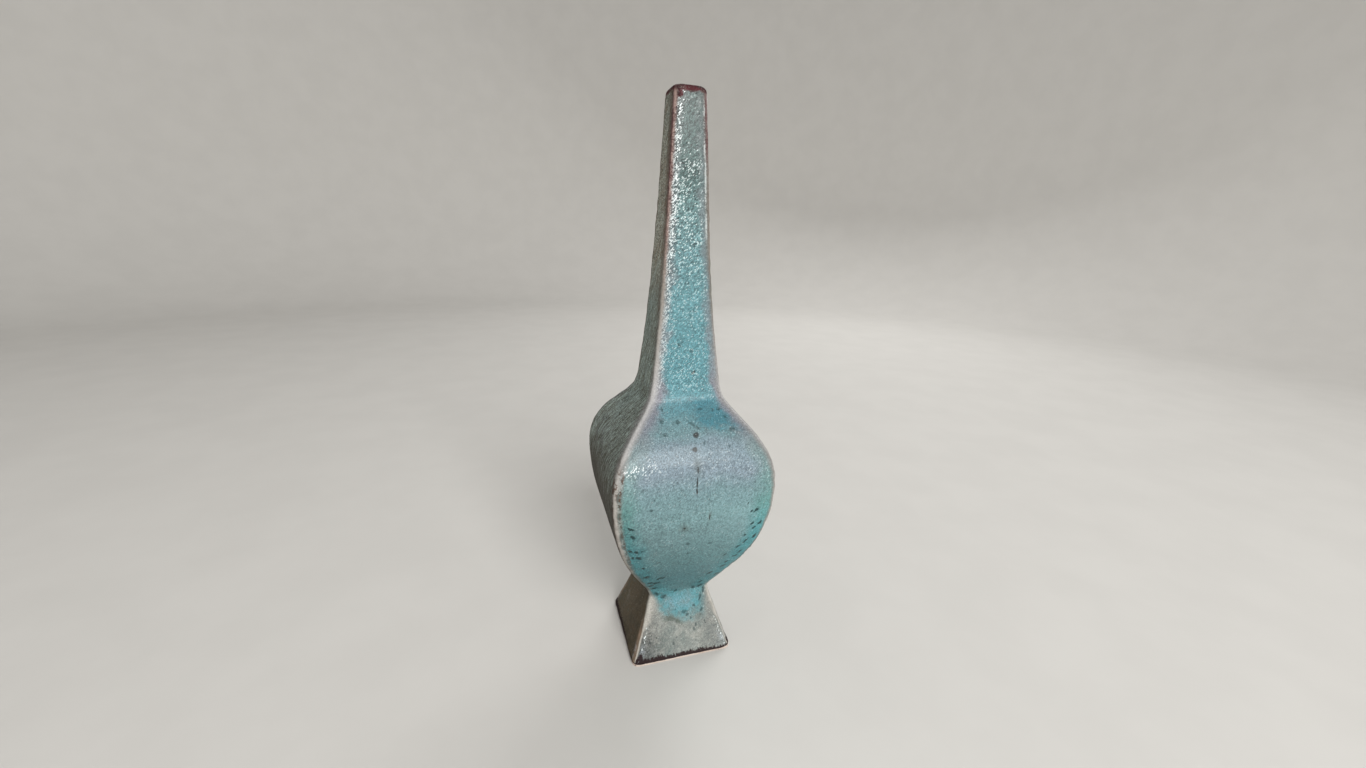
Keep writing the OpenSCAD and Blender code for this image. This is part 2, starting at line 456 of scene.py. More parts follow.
@dataclass
class GlazeCoat:
    """The outer glaze, from the ragged line above the table over the lip into the mouth.

    Lengths are in metres. The coat is drawn up ring by ring on the CAD sleeve's own profile. The hem's
    rings say how far each lies behind the face and above the bare line, and what its radius loses.
    """

    levels: Levels
    profile: SleeveProfile
    row_pitch: float = 2.9 * MM
    joint_pitch: float = 0.8 * MM
    skin: float = 0.45 * MM
    bury: float = 0.75 * MM
    deepest: float = 0.1 * MM
    waist_fill: float = 2.6 * MM
    mouth_roll: float = 1.0 * MM
    mouth_depth: float = 10.0 * MM
    corner_heights: Sequence[float] = (0.0, 32 * MM, 96.5 * MM, 132.4 * MM, 257.7 * MM)
    corner_radii: Sequence[float] = (3.7 * MM, 2.9 * MM, 3.7 * MM, 3.1 * MM, 3.3 * MM)
    mouth_radius: float = 1.4 * MM
    corner_steps: int = 3
    face_cuts: int = 9
    smooth_levels: int = 2
    belly_rows: int = 24
    neck_rows: int = 9
    lip_turns: Sequence[float] = (0, 22, 45, 68, 90)
    mouth_rows: Sequence[float] = (0.3, 0.65, 1.0)
    lining_cover: float = 0.04 * MM
    hem_lift: float = 0.2 * MM
    hem: Sequence[Ring] = ((0.2 * MM, 0.02 * MM, 0.2 * MM), (0.02 * MM, 0.4 * MM, 0.0))
    reliefs: Sequence[Relief] = field(default_factory=list)

    def _corner(self, z: float) -> float:
        """Radius of the rounded corners at a height."""
        return float(np.interp(z, self.corner_heights, self.corner_radii))

    def _outer(self, z: float) -> float:
        """Work out the coat's half-width, with glaze run together in the waist.

        Args:
            z: Height.

        Returns:
            The half-width.
        """
        waist, reach = self.levels.waist, self.waist_fill
        spread = self.profile.outer(waist + reach) + self.profile.outer(waist - reach)
        opening = spread / 2 - self.profile.outer(waist)
        inside = max(0.0, 1 - abs(z - waist) / reach)
        return self.profile.outer(z) + opening * inside * inside / 2

    def _heights(self) -> list[float]:
        """Place the outer rings, closer together beside the waist and the crease.

        Returns:
            Their heights.
        """
        lip = self.levels.top - self.profile.lip_roll
        ends = [self.levels.bare + 3 * self.joint_pitch, self.levels.waist, self.levels.crease, lip]
        heights = []
        for low, high in zip(ends, ends[1:]):
            first, final = low + self.joint_pitch, high - self.joint_pitch
            count = round((final - first) / self.row_pitch) + 1
            heights += [low, *np.linspace(first, final, count)]
        return heights

    def _rings(self) -> list[Ring]:
        """Work out all the rings, from the bare line to the mouth.

        Returns:
            Half-width, height and corner radius of each.
        """
        low, top, roll = self.levels.bare, self.levels.top, self.profile.lip_roll
        lip, dip = top - roll, top - self.mouth_roll
        foot, radius = self.profile.outer(low), self._corner(low)
        rings = [(foot - self.skin, low + self.hem_lift, radius - self.skin)]
        rings += [(foot - inset, low + lift, radius - less) for inset, lift, less in self.hem]
        rings += [(self._outer(z), z, self._corner(z)) for z in self._heights()]
        turns = np.radians(self.lip_turns)
        brow = self.profile.outer(lip)
        mouth = self.profile.bore(dip)
        over = [(brow - roll * (1 - math.cos(a)), lip + roll * math.sin(a)) for a in turns]
        into = [
            (mouth + self.mouth_roll * (1 - math.cos(a)), dip + self.mouth_roll * math.sin(a))
            for a in turns[::-1]
        ]
        for share in self.mouth_rows:
            z = top - share * self.mouth_depth
            into.append((self.profile.bore(z) - self.lining_cover, z))
        for half, z in over + into:
            share = np.clip((half - mouth) / (brow - mouth), 0, 1)
            rings.append((half, z, self.mouth_radius + share * (self._corner(lip) - self.mouth_radius)))
        return rings

    def build(self) -> bpy.types.Object:
        """Model the coat.

        Returns:
            The finished mesh object, at the origin.
        """
        rings = self._rings()
        coat = self._draw_up(rings)
        self._round_corners(coat, rings)
        self._divide_faces(coat)
        smooth = coat.modifiers.new("smooth", "SUBSURF")
        smooth.levels = self.smooth_levels
        smooth.render_levels = self.smooth_levels
        bpy.ops.object.modifier_apply(modifier="smooth")
        rest = places_of(coat)
        outward = np.array([vertex.normal for vertex in coat.data.vertices])
        for relief in self.reliefs:
            relief.press(coat)
        self._hold_off_clay(coat, rest, outward)
        self._hold_in_box(coat)
        self._close_inside(coat)
        bpy.ops.object.shade_smooth()
        return coat

    def _draw_up(self, rings: Sequence[Ring]) -> bpy.types.Object:
        """Extrude a square ring of edges through all the rings.

        Args:
            rings: Half-width, height and corner radius of each.

        Returns:
            The square-cornered coat.
        """
        half, z, _ = rings[0]
        bpy.ops.object.select_all(action="DESELECT")
        bpy.ops.mesh.primitive_plane_add(size=2 * half, location=(0, 0, z))
        coat = bpy.context.object
        coat.name = "glaze_coat"
        bpy.ops.object.transform_apply(location=True)
        bpy.ops.object.mode_set(mode="EDIT")
        bpy.ops.mesh.delete(type="ONLY_FACE")
        bpy.ops.mesh.select_all(action="SELECT")
        extrude_rings([(half, z) for half, z, _ in rings])
        bpy.ops.object.mode_set(mode="OBJECT")
        return coat

    def _round_corners(self, coat: bpy.types.Object, rings: Sequence[Ring]) -> None:
        """Bevel the four upright edges by the radius of the rings they join.

        Args:
            coat: The square-cornered coat.
            rings: Half-width, height and corner radius of each of its rings.
        """
        places = places_of(coat)
        table = np.array(rings)
        halves = np.abs(places[:, :2]).max(axis=1)
        gaps = np.abs(halves[:, None] - table[:, 0]) + np.abs(places[:, 2:] - table[:, 1])
        ring_of = gaps.argmin(axis=1)
        widest = max(radius for _, _, radius in rings)
        weights = coat.data.attributes.new("bevel_weight_edge", "FLOAT", "EDGE")
        for edge in coat.data.edges:
            first, second = (ring_of[v] for v in edge.vertices)
            if first != second:
                weights.data[edge.index].value = (table[first, 2] + table[second, 2]) / 2 / widest
        bevel = coat.modifiers.new("corners", "BEVEL")
        bevel.limit_method = "WEIGHT"
        bevel.width = widest
        bevel.segments = self.corner_steps
        bevel.use_clamp_overlap = False
        bpy.ops.object.modifier_apply(modifier="corners")

    def _divide_faces(self, coat: bpy.types.Object) -> None:
        """Cut the flat of each face into columns.

        Args:
            coat: The coat with its round corners.
        """
        bpy.ops.object.mode_set(mode="EDIT")
        bpy.ops.mesh.select_all(action="DESELECT")
        bpy.ops.mesh.select_mode(type="EDGE")
        bpy.ops.object.mode_set(mode="OBJECT")
        vertices = coat.data.vertices
        for edge in coat.data.edges:
            run = vertices[edge.vertices[0]].co - vertices[edge.vertices[1]].co
            edge.select = abs(run.z) < SAME and min(abs(run.x), abs(run.y)) < SAME
        bpy.ops.object.mode_set(mode="EDIT")
        bpy.ops.mesh.subdivide(number_cuts=self.face_cuts)
        bpy.ops.mesh.select_all(action="SELECT")
        bpy.ops.mesh.normals_make_consistent(inside=False)
        bpy.ops.object.mode_set(mode="OBJECT")

    def _hold_off_clay(self, coat: bpy.types.Object, rest: np.ndarray, outward: np.ndarray) -> None:
        """Lift whatever the reliefs pressed in too far, so that the clay stays covered.

        Args:
            coat: The coat after its reliefs.
            rest: Places of its vertices before them.
            outward: Normals of its vertices before them.
        """
        places = places_of(coat)
        sunk = -self.deepest - ((places - rest) * outward).sum(axis=1)
        places += outward * np.clip(sunk, 0.0, None)[:, None]
        coat.data.vertices.foreach_set("co", places.ravel())

    def _hold_in_box(self, coat: bpy.types.Object) -> None:
        """Keep the uneven surface inside the CAD sleeve's box, save for drips half-way to the table.

        Args:
            coat: The coat after its reliefs.
        """
        low, high = (np.array(corner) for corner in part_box("outer_glaze"))
        low[2] -= self.levels.bare / 2
        coat.data.vertices.foreach_set("co", np.clip(places_of(coat), low, high).ravel())
        coat.data.update()

    def _close_inside(self, coat: bpy.types.Object) -> None:
        """Run the lower edge up behind the coat and join it to the edge inside the mouth.

        Args:
            coat: The coat, open at its hem and in the mouth.
        """
        lip = self.levels.top - self.profile.lip_roll
        climb = [self.levels.waist / 2]
        climb += list(np.linspace(self.levels.waist, self.levels.crease, self.belly_rows))
        climb += list(np.linspace(self.levels.crease, lip, self.neck_rows))[1:]
        path = [(self.profile.outer(self.levels.bare) - self.skin, self.levels.bare)]
        path += [(self.profile.outer(z) - self.bury, z) for z in climb]
        inner = self.profile.bore(self.levels.top - self.mouth_depth) + self.skin
        path += [(inner, lip), (inner, self.levels.top - self.mouth_depth)]
        bpy.ops.object.mode_set(mode="EDIT")
        bpy.ops.mesh.select_all(action="DESELECT")
        bpy.ops.mesh.select_mode(type="EDGE")
        bpy.ops.mesh.select_non_manifold()
        bpy.ops.object.mode_set(mode="OBJECT")
        vertices = coat.data.vertices
        rims = [edge for edge in coat.data.edges if edge.select]
        for part in (coat.data.vertices, coat.data.edges, coat.data.polygons):
            part.foreach_set("select", [False] * len(part))
        mouth = {v for e in rims for v in e.vertices if vertices[v].co.z > self.levels.crease}
        group = coat.vertex_groups.new(name="mouth_edge")
        group.add(list(mouth), 1.0, "REPLACE")
        for edge in rims:
            edge.select = edge.vertices[0] not in mouth
        bpy.ops.object.mode_set(mode="EDIT")
        extrude_rings(path)
        coat.vertex_groups.active = group
        bpy.ops.object.vertex_group_select()
        bpy.ops.mesh.bridge_edge_loops()
        bpy.ops.mesh.select_all(action="SELECT")
        bpy.ops.mesh.normals_make_consistent(inside=False)
        bpy.ops.object.mode_set(mode="OBJECT")


@dataclass(frozen=True)
class Mark:
    """A small spot or dash burnt into the glaze of the front face, in millimetres.

    Attributes:
        across: Place from the middle of the face, to the right.
        height: Height above the table.
        wide: Half its width.
        tall: Half its height.
        lean: Rise for each unit to the right.
    """

    across: float
    height: float
    wide: float
    tall: float
    lean: float


def leaning(lean: float, *rows: tuple[float, float, float, float]) -> tuple[Mark, ...]:
    """Marks that lean alike, each given by its place and its half-sizes."""
    return tuple(Mark(*row, lean) for row in rows)


class Surface:
    """Places and noises on the vase that the glaze's layers share, in millimetres."""

    def __init__(self, graph: Graph) -> None:
        """Add the nodes that every layer reads.

        Args:
            graph: Node tree of the glaze.
        """
        self.graph = graph
        self.place = graph.millimetres()
        self.x, self.y, self.z = graph.split(self.place)
        wide, deep = abs(self.x), abs(self.y)
        self.edge = wide.most(deep) - wide.least(deep)
        self.front = -self.y > wide
        self.right = self.x > deep
        self.back = self.y > wide
        self.left = -self.x > deep
        self.across = self.x * (self.front - self.back) + self.y * (self.right - self.left)
        self.broad = graph.cloud(self.place, 42.0, 2.0)
        self.patch = graph.cloud(self.place, 11.0, 3.0)
        self.mottle = graph.cloud(self.place, 3.4, 3.0, 0.6)
        self.grain = graph.cloud(self.place, 0.7, 2.0, 0.6)
        self.streak = graph.cloud(graph.stretch(self.place, (1.0, 1.0, 0.14)), 1.1, 2.0)
        self.brush = graph.cloud(self._turned("X_AXIS", 1.12, (0.12, 0.07, 1.0)), 0.52, 2.0)
        self.slant = self._turned("Y_AXIS", 0.8, (0.55, 1.0, 1.1))
        self.front_left = (-self.x - self.y).rise(4.0, 12.0)
        self.away = (self.across - self.z * 0.3).rise(8.0, -20.0)
        # Painted shade: the left face darker below an uneven line low on the belly.
        uneven = self.broad * 26.0 + self.patch * 22.0 + self.brush * 14.0 + self.mottle * 8.0
        self.painted_shade_low_left = self.left * (self.z + uneven).rise(113.0, 84.0)

    def _turned(self, axis: str, angle: float, along: tuple[float, float, float]) -> Value:
        """Turn and stretch the places, for a noise with a grain.

        Args:
            axis: Rotation type of the Vector Rotate node.
            angle: Angle in radians.
            along: Factors by which the turned places are multiplied.

        Returns:
            The changed places.
        """
        sockets = {"Vector": self.place, "Angle": angle}
        turned = self.graph.node("VectorRotate", {"rotation_type": axis}, sockets)
        return self.graph.stretch(turned, along)

    def by_face(self, front: float, right: float, back: float, left: float) -> Value:
        """A number for each face."""
        return self.front * front + self.right * right + self.back * back + self.left * left

    def by_height(self, heights: Stops, height: Value, top: float) -> Value:
        """A colour that runs through stops given by height."""
        ramp = [(z / top, colour) for z, colour in heights]
        return self.graph.node("ValToRGB", {"stops": ramp}, {0: height / top})

    def marks(self, marks: Sequence[Mark], ragged: float, soft: float = 0.3) -> Value:
        """A mask of marks on the front face.

        Args:
            marks: The marks.
            ragged: How far their outlines stray, in millimetres.
            soft: Width of their soft outline, as a share of their size.

        Returns:
            One inside the marks, nought outside.
        """
        graph = self.graph
        sockets = {"Vector": self.place, "Scale": 0.7, "Detail": 2.0}
        stray = graph.node("TexNoise", sockets=sockets, output="Color")
        nearest: Value | None = None
        for lean in sorted({mark.lean for mark in marks}):
            spot = graph.node("CombineXYZ", sockets={0: self.across, 1: self.z - self.across * lean})
            sockets = {0: stray, 1: (2 * ragged, 2 * ragged, 0.0), 2: spot}
            spot = graph.node("VectorMath", {"operation": "MULTIPLY_ADD"}, sockets)
            for mark in (m for m in marks if m.lean == lean):
                level = mark.height - lean * mark.across
                scale = (1 / mark.wide, 1 / mark.tall, 0.0)
                shift = (-(mark.across + ragged) / mark.wide, -(level + ragged) / mark.tall, 0.0)
                sockets = {0: spot, 1: scale, 2: shift}
                near = graph.node("VectorMath", {"operation": "MULTIPLY_ADD"}, sockets)
                gap = graph.node("VectorMath", {"operation": "LENGTH"}, {0: near}, "Value")
                nearest = gap if nearest is None else nearest.least(gap)
        return nearest.rise(1.0 + soft, 1.0 - soft) * self.front


@dataclass(frozen=True)
class TurquoiseGlaze:
    """Satin turquoise glaze, crystalline on the neck, pale on the corners, red-brown at the lip.

    The stops are screen colours by height in millimetres, and tone is the share of all colours that
    the glaze gives back under the studio's light.
    """

    tone: float = 0.65
    refraction: float = 1.34
    coat_roughness: float = 0.12
    bump_depth: float = 0.3
    crystal_size: float = 0.43
    dust_size: float = 0.3
    # The face stops are darker low on the belly than at its middle: partly painted shade where the belly
    # turns down.
    face_stops: Stops = colour_stops(
        (0, 146, 153, 149), (29, 150, 157, 152), (33, 98, 136, 140), (44, 92, 134, 140),
        (60, 102, 142, 146), (76, 122, 156, 160), (86, 131, 167, 171), (97, 128, 160, 166),
        (106, 138, 157, 169), (116, 130, 153, 164), (121, 117, 150, 156), (134, 104, 158, 168),
        (150, 100, 157, 167), (176, 104, 156, 164), (200, 112, 153, 158), (215, 108, 143, 144),
        (228, 86, 111, 109), (260, 84, 100, 97),
    )
    margin_stops: Stops = colour_stops(
        (0, 148, 154, 152), (28, 156, 160, 155), (33, 80, 134, 140), (50, 76, 138, 145),
        (72, 86, 152, 158), (90, 108, 156, 154), (104, 129, 163, 164), (114, 128, 150, 153),
        (124, 132, 138, 148), (136, 142, 144, 154), (150, 130, 148, 156), (190, 122, 140, 145),
        (260, 112, 122, 120),
    )
    ridge_stops: Stops = colour_stops(
        (0, 204, 198, 188), (30, 206, 204, 196), (36, 124, 124, 118), (58, 146, 142, 134),
        (76, 198, 193, 186), (104, 192, 188, 183), (116, 192, 191, 190), (134, 200, 199, 199),
        (160, 180, 175, 170), (184, 150, 142, 133), (206, 118, 96, 90), (222, 92, 56, 58),
        (260, 84, 40, 44),
    )
    # Grey laid over the left face: partly painted shade.
    ash: Colour = srgb(126, 134, 127)
    moss: Colour = srgb(158, 174, 168)
    # Dark of the brushed streaks, also laid as mottled painted shade on the foot's left face.
    dark_streak_and_shade: Colour = srgb(74, 69, 52)
    # Brown laid as painted shade low on the left face and on the foot's left face.
    shade_brown: Colour = srgb(96, 82, 60)
    fawn: Colour = srgb(186, 160, 138)
    rose: Colour = srgb(186, 160, 152)
    drab: Colour = srgb(138, 136, 126)
    pool: Colour = srgb(70, 130, 144)
    run: Colour = srgb(94, 158, 166)
    haze: Colour = srgb(138, 176, 192)
    cream: Colour = srgb(186, 186, 178)
    celadon: Colour = srgb(118, 138, 134)
    lilac: Colour = srgb(178, 190, 202)
    olive: Colour = srgb(92, 100, 90)
    oxblood: Colour = srgb(92, 14, 28)
    burnt: Colour = srgb(40, 18, 20)
    ink: Colour = srgb(26, 58, 60)
    umber: Colour = srgb(46, 46, 44)
    # Brown of the corners' pits and crawled seams, also laid as painted shadow.
    pit_and_shadow_brown: Colour = srgb(92, 68, 54)
    # White of the crystals, also laid as painted glints.
    crystal_and_glint: Colour = srgb(236, 244, 244)
    spots: Sequence[Mark] = leaning(
        0.0,
        (0.5, 120.0, 1.3, 1.1), (-1.0, 115.0, 1.1, 1.0), (-0.5, 107.0, 0.3, 1.6),
        (-1.0, 102.0, 0.35, 2.4), (-1.0, 98.0, 0.45, 1.5), (5.5, 84.5, 0.25, 1.7),
        (-5.5, 80.0, 0.6, 0.5),
    )
    stains: Sequence[Mark] = leaning(
        0.0,
        (-5.5, 80.0, 2.2, 1.9), (-0.5, 108.5, 1.6, 3.4), (5.5, 85.0, 0.8, 2.6),
    )
    dashes: Sequence[Mark] = (
        *leaning(
            0.5,
            (2.5, 144.5, 1.0, 0.7), (-13.0, 47.0, 1.3, 0.8), (-11.0, 47.0, 1.0, 0.8),
            (28.0, 85.0, 1.3, 0.9), (25.5, 84.5, 0.9, 0.6), (23.5, 89.0, 0.6, 0.5),
            (28.5, 75.0, 1.0, 0.7), (27.0, 77.5, 1.0, 0.8), (24.5, 71.0, 0.7, 0.6),
            (22.5, 64.0, 1.1, 0.7), (22.5, 57.0, 1.4, 0.6), (17.0, 59.0, 0.9, 0.6),
            (19.5, 53.0, 0.8, 0.6), (18.5, 49.5, 1.5, 0.8), (13.0, 44.5, 1.4, 0.9),
            (17.0, 42.5, 1.3, 0.7), (10.0, 37.0, 1.2, 0.7), (10.5, 33.5, 1.5, 0.8),
            (11.0, 21.0, 0.8, 0.9),
        ),
        *leaning(
            -0.5,
            (-29.5, 83.5, 1.7, 0.7), (-28.5, 79.0, 1.1, 1.0), (-29.0, 71.0, 0.9, 0.7),
            (-26.5, 70.0, 1.2, 0.7), (-25.0, 66.0, 1.3, 1.0), (-27.5, 66.5, 0.8, 0.6),
            (-22.0, 58.0, 1.0, 0.6), (-12.0, 33.0, 1.2, 1.2),
        ),
        *leaning(
            0.1,
            (-19.5, 50.0, 1.8, 0.9), (-13.5, 43.0, 2.0, 0.9), (-17.0, 44.0, 1.4, 0.7),
            (-16.0, 41.0, 1.6, 0.7), (-14.0, 38.0, 1.6, 0.8), (-8.5, 30.5, 1.4, 1.1),
            (-2.5, 33.0, 0.8, 1.1), (7.0, 33.0, 1.2, 0.9), (7.0, 23.5, 0.8, 0.6),
        ),
        *leaning(
            0.9,
            (31.0, 77.5, 1.0, 0.9), (29.5, 69.5, 1.1, 0.9), (25.5, 67.0, 1.1, 0.7),
            (24.5, 60.0, 1.2, 0.7), (12.5, 30.5, 0.8, 1.8), (10.5, 27.0, 0.8, 1.3),
        ),
    )
    faint: Sequence[Mark] = (
        *leaning(
            0.0,
            (-3.5, 156.5, 0.9, 0.8), (2.0, 154.0, 0.9, 0.8), (-12.5, 130.0, 0.8, 0.7),
            (-13.5, 125.5, 0.8, 0.8), (-6.5, 125.0, 0.9, 0.8), (4.5, 129.0, 1.2, 0.5),
            (10.5, 128.5, 0.7, 0.5), (13.5, 128.5, 0.8, 0.5), (15.5, 125.5, 0.7, 0.6),
            (18.0, 121.0, 1.3, 0.9), (-13.0, 121.0, 1.0, 0.7), (-25.5, 119.5, 0.5, 0.4),
            (4.0, 117.0, 0.6, 0.6), (15.0, 115.0, 0.7, 0.5), (-3.0, 70.5, 0.9, 0.8),
            (7.5, 69.0, 1.1, 0.7), (-2.0, 64.0, 0.7, 0.6), (-15.5, 60.5, 0.8, 0.7),
            (-23.5, 70.0, 0.8, 0.6), (-21.0, 91.5, 0.7, 0.8), (-19.5, 96.0, 0.5, 0.5),
            (2.0, 21.5, 1.4, 0.8), (3.5, 20.0, 0.8, 0.6), (5.0, 18.0, 0.8, 0.6),
            (7.5, 14.5, 0.7, 1.0), (12.5, 15.0, 0.5, 0.8), (6.5, 12.5, 0.6, 0.9),
            (-4.5, 7.5, 0.5, 0.6), (-13.0, 12.0, 0.5, 0.6), (-16.5, 10.0, 0.5, 0.6),
        ),
        *leaning(
            -0.5,
            (-0.5, 124.0, 1.4, 0.7), (2.0, 122.5, 1.1, 0.6),
        ),
    )
    drops: Sequence[Mark] = leaning(0.0, (-5.0, 256.5, 1.5, 1.8), (7.5, 255.5, 0.9, 3.6))

    def material(self, levels: Levels) -> bpy.types.Material:
        """Build the material for a vase of these heights."""
        return GlazePainter(self, levels).paint()

    def deepen(self, colour: Colour) -> Colour:
        """A plain colour at the glaze's tone."""
        return (*(channel * self.tone for channel in colour[:3]), 1.0)


@dataclass(frozen=True)
class GlazeHeights:
    """Heights on the vase that the glaze's layers take, in millimetres.

    A pair says where something begins and where it is full, upwards or, with the lower height second,
    downwards. Three numbers are the ends of a band and its soft margin.
    """

    glossy_foot: Span = (16.0, 5.0)
    strokes: Span = (30.0, 38.0)
    strokes_fade: Span = (132.0, 170.0)
    buff: Span = (165.0, 200.0)
    buff_fades: Span = (225.0, 245.0)
    run_thins: Span = (27.0, 17.0)
    pepper: Span = (150.0, 128.0)
    dashes_soften: Span = (36.0, 30.0)
    upper_neck: Span = (170.0, 205.0)
    foot: Span = (34.0, 28.0)
    dull_top: Span = (226.0, 240.0)
    left_shoulder: Span = (96.0, 106.0)
    lower_belly: Span = (100.0, 80.0)
    lower_foot: Span = (20.0, 6.0)
    left_upper_neck: Span = (168.0, 190.0)
    foot_ridge: Span = (26.0, 16.0)
    front_foot_ridge: Span = (19.0, 13.0)
    neck_ridge: Span = (176.0, 200.0)
    rose_ridge: Span = (170.0, 215.0)
    far_neck_ridge: Span = (140.0, 165.0)
    dense_seam: Span = (84.0, 100.0)
    deep_shadow: Span = (214.0, 232.0)
    tan_seam: Span = (24.0, 12.0)
    haze: Span = (23.0, 31.0, 3.0)
    painted_glint_band: Span = (107.5, 111.0, 2.2)
    left_neck: Span = (136.0, 250.0, 10.0)
    shoulder_ridge: Span = (100.0, 150.0, 12.0)
    crawled_ridge: Span = (60.0, 106.0, 8.0)
    waist_ridge: Span = (18.0, 31.0, 3.0)
    left_shoulder_ridge: Span = (104.0, 136.0, 8.0)
    pits: Span = (46.0, 111.0, 6.0)
    foot_pits: Span = (4.0, 30.0, 3.0)
    dense_pits: Span = (99.0, 110.0, 3.0)
    worn_ridge: Span = (172.0, 232.0, 8.0)
    far_ridge: Span = (50.0, 190.0, 10.0)
    far_shoulder_ridge: Span = (104.0, 140.0, 8.0)
    crest_highlight: Span = (84.0, 190.0, 16.0)
    crawled_seam: Span = (62.0, 110.0, 5.0)
    neck_glint: Span = (202.0, 253.0, 4.0)
    drips: Span = (3.0, 8.5, 2.5)
    foot_glint: Span = (2.0, 17.0, 1.2)


class GlazePainter:
    """Lays the turquoise glaze up layer by layer; heights and distances are in millimetres."""

    def __init__(self, glaze: TurquoiseGlaze, levels: Levels) -> None:
        """Start with the colour down the middle of the faces.

        Args:
            glaze: Its colours and marks.
            levels: Heights of the vase.
        """
        self.glaze = glaze
        self.at = GlazeHeights()
        self.graph = Graph(Slot.TURQUOISE_GLAZE.value)
        self.waist, self.crease, self.top = (z / MM for z in (levels.waist, levels.crease, levels.top))
        self.on = on = Surface(self.graph)
        self.below = on.z.rise(self.waist + 0.8, self.waist - 0.6)
        self.height = on.z + on.broad * 9.0 + on.patch * 7.0 + on.mottle * 3.0
        self.colour = on.by_height(glaze.face_stops, self.height, self.top)

    def _lay(self, over: object, share: Number, blend: str = "MIX") -> None:
        """Lay a colour over those that are there."""
        self.colour = self.graph.mix(self.colour, over, share, blend)

    def paint(self) -> bpy.types.Material:
        """Lay all the layers.

        Returns:
            The finished glaze.
        """
        on, at, glaze = self.on, self.at, self.glaze
        near = self._margins()
        self._pool()
        self._streaks()
        self._foot()
        self._run()
        self._specks()
        fleck_and_glint = self._crystals_and_glints(near)
        ridge = self._ridges()
        self._seams_shadow_and_glint()
        lip = self._lip()
        drip, dark = self._bare_line()
        shiny = on.z.band(self.top - 50.0, self.top - 12.0, 14.0) * 0.4 + on.z.rise(*at.glossy_foot) * 0.3
        glassy = (shiny * ridge + drip).least(1.0) * (1.0 - lip)
        rough = 0.47 + on.mottle * 0.25 - fleck_and_glint * 0.16 - glassy * 0.2 + (lip + dark) * 0.3
        rough = rough + on.left * 0.3
        gloss = (0.14 + fleck_and_glint * 0.3 + glassy * 0.7) * on.by_face(1.0, 1.0, 1.0, 0.1)
        gloss = gloss * (1.0 - (lip + dark).least(1.0) * 0.9)
        sockets = {
            "Base Color": self.colour,
            "Roughness": rough.most(0.2).least(0.85),
            "IOR": glaze.refraction,
            "Coat Weight": gloss.least(0.8),
            "Coat Roughness": glaze.coat_roughness,
        }
        bump = on.grain * 0.6 + on.mottle * 0.25 + on.patch * 0.3 - ridge * on.streak * 0.3
        return self.graph.finish(sockets, bump, glaze.bump_depth)

    def _margins(self) -> Value:
        """Lay the colour of the margins beside the corners.

        Returns:
            A mask of the margins.
        """
        on = self.on
        reach = on.z.rise(self.crease + 6.0, self.crease - 14.0) * 6.0 + 4.0
        near = ((on.edge + on.patch * 9.0 + on.mottle * 4.0 - 1.5) / reach).rise(1.25, 0.35)
        self._lay(on.by_height(self.glaze.margin_stops, self.height, self.top), near)
        return near

    def _pool(self) -> None:
        """Bluer glaze that pooled under the neck, lower and deeper on one half of each face."""
        on = self.on
        swing = on.across * on.by_face(1.0, -1.0, 1.0, -1.0)
        low = self.crease - 4.6 - swing.rise(-4.0, 9.0) * 5.0
        pool = (on.z - low + on.patch * 6.0 + on.mottle * 6.0 + on.grain * 3.0).rise(-3.4, 2.8)
        pool = pool * (on.z + on.mottle * 3.0).rise(self.crease + 2.2, self.crease - 0.8)
        pool = pool * (on.edge + on.patch * 5.0 + on.mottle * 4.0).rise(2.5, 9.0)
        deep = 0.34 + swing.rise(-6.0, 7.0) * 0.5 + on.mottle * 1.1 + on.grain * 0.5
        self._lay(self.glaze.pool, pool * deep)

    def _streaks(self) -> None:
        """Grey brushed glaze on the left face, partly painted shade, with brown painted shade low down and
        buff up the neck; faint elsewhere.
        """
        on, at, glaze = self.on, self.at, self.glaze
        thin = on.by_face(-0.1, 0.1, 0.15, 0.8) + on.broad * 0.8 + on.mottle * 0.5
        # Grey over the left face and faintly elsewhere: partly painted shade.
        self._lay(glaze.ash, thin.rise(0.0, 1.0))
        # Painted shade: brown over the lower part of the left face.
        self._lay(glaze.shade_brown, on.painted_shade_low_left * 0.9)
        share = on.by_face(0.0, 0.25, 0.2, 0.95) * on.z.rise(*at.strokes)
        brushed = on.brush * 1.8 + on.mottle * 0.2 + on.grain * 0.9
        self._lay(glaze.dark_streak_and_shade, brushed.rise(0.05, -0.25) * share * 0.85)
        buff = on.left * on.z.rise(*at.buff)
        self._lay(glaze.fawn, buff * (0.27 - on.z.rise(*at.buff_fades) * 0.1))
        pale = brushed.rise(-0.04, 0.24) * share
        pale = pale * (1.0 - on.painted_shade_low_left * 0.72 - on.z.rise(*at.strokes_fade) * 0.3)
        self._lay(glaze.moss, pale * 0.9)

    def _foot(self) -> None:
        """Cream and celadon foot, with mottled painted shade on its left face."""
        on, glaze = self.on, self.glaze
        cloudy = on.patch * 1.1 + on.mottle * 0.8 + on.grain * 0.5
        self._lay(glaze.cream, cloudy.rise(-0.1, 0.35) * self.below * 0.65)
        self._lay(glaze.celadon, cloudy.rise(0.0, -0.35) * self.below * 0.5)
        # Painted shade: the foot's left face darker and browner, mottled.
        left_foot_shade = on.left * self.below * (0.8 - on.away * 0.4 + on.mottle * 1.2 + on.streak * 0.8)
        self._lay(glaze.shade_brown, left_foot_shade)
        murk_and_shade = on.left * self.below * (on.patch * 2.0 + on.mottle * 1.4).rise(-0.1, 0.3)
        self._lay(glaze.dark_streak_and_shade, murk_and_shade * (0.7 - on.away * 0.4))

